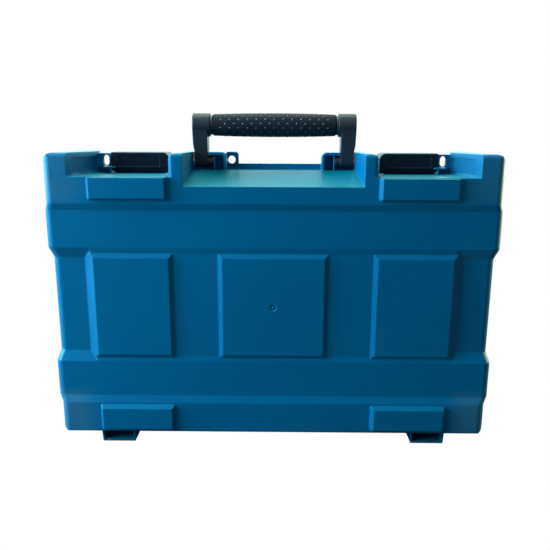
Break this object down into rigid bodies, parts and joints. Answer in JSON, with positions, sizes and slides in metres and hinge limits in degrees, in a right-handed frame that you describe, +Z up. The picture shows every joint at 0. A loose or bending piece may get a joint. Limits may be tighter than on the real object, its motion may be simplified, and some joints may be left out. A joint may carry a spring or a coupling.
{
  "type": "hard tool case",
  "caption": "Hard plastic tool case on its hinge edge, with a hinged lid, draw-over latches, a fold-down carrying handle, padlock holes and a fitted tray inside.",
  "frame": {"origin": "middle of the footprint on the surface that the feet stand on", "axes": "+X along the case to the right in the picture, +Y from the base half to the lid half, +Z up to the handle"},
  "size_m": [0.437, 0.12, 0.3308],
  "materials": {
    "shell": "fine-grained teal blue moulding",
    "latch_plastic": "satin near-black moulding",
    "handle_plastic": "satin near-black moulding",
    "core_plastic": "smooth dark moulding",
    "grip_rubber": "soft rubber with rows of raised dots",
    "pin_steel": "drawn steel",
    "tray_plastic": "vacuum-formed dark sheet",
    "cover_plastic": "satin black moulding",
    "foam": "open-cell grey foam"
  },
  "bodies": {
    "base": {"base_shell": "shell", "base_tray": "tray_plastic", "tray_screws": "pin_steel", "bin_dividers": "cover_plastic", "hinge_pin_left": "pin_steel", "hinge_pin_right": "pin_steel", "handle_pin_left": "pin_steel", "handle_pin_right": "pin_steel"},
    "lid": {"lid_shell": "shell", "lid_foam": "foam", "foam_clips": "cover_plastic", "latch_pin_left": "pin_steel", "latch_pin_right": "pin_steel"},
    "latch_l": {"latch_left": "latch_plastic"},
    "latch_r": {"latch_right": "latch_plastic"},
    "handle": {"handle_arm_left": "handle_plastic", "handle_arm_right": "handle_plastic", "handle_core": "core_plastic", "handle_grip": "grip_rubber"},
    "cover": {"bin_cover": "cover_plastic"}
  },
  "joints": [
    {"name": "lid_hinge", "type": "hinge", "parent": "base", "child": "lid", "pos_m": [0, 0.01, 0.008], "axis": [-1, 0, 0], "range_deg": [0, 105]},
    {"name": "latch_left_hinge", "type": "hinge", "parent": "lid", "child": "latch_l", "pos_m": [-0.1351, 0.028, 0.284], "axis": [-1, 0, 0], "range_deg": [0, 105]},
    {"name": "latch_right_hinge", "type": "hinge", "parent": "lid", "child": "latch_r", "pos_m": [0.1351, 0.028, 0.284], "axis": [-1, 0, 0], "range_deg": [0, 105]},
    {"name": "handle_hinge", "type": "hinge", "parent": "base", "child": "handle", "pos_m": [0, 0.001, 0.284], "axis": [1, 0, 0], "range_deg": [0, 90]},
    {"name": "cover_slide", "type": "slide", "parent": "base", "child": "cover", "axis": [-1, 0, 0], "range_m": [0, 0.06]}
  ]
}
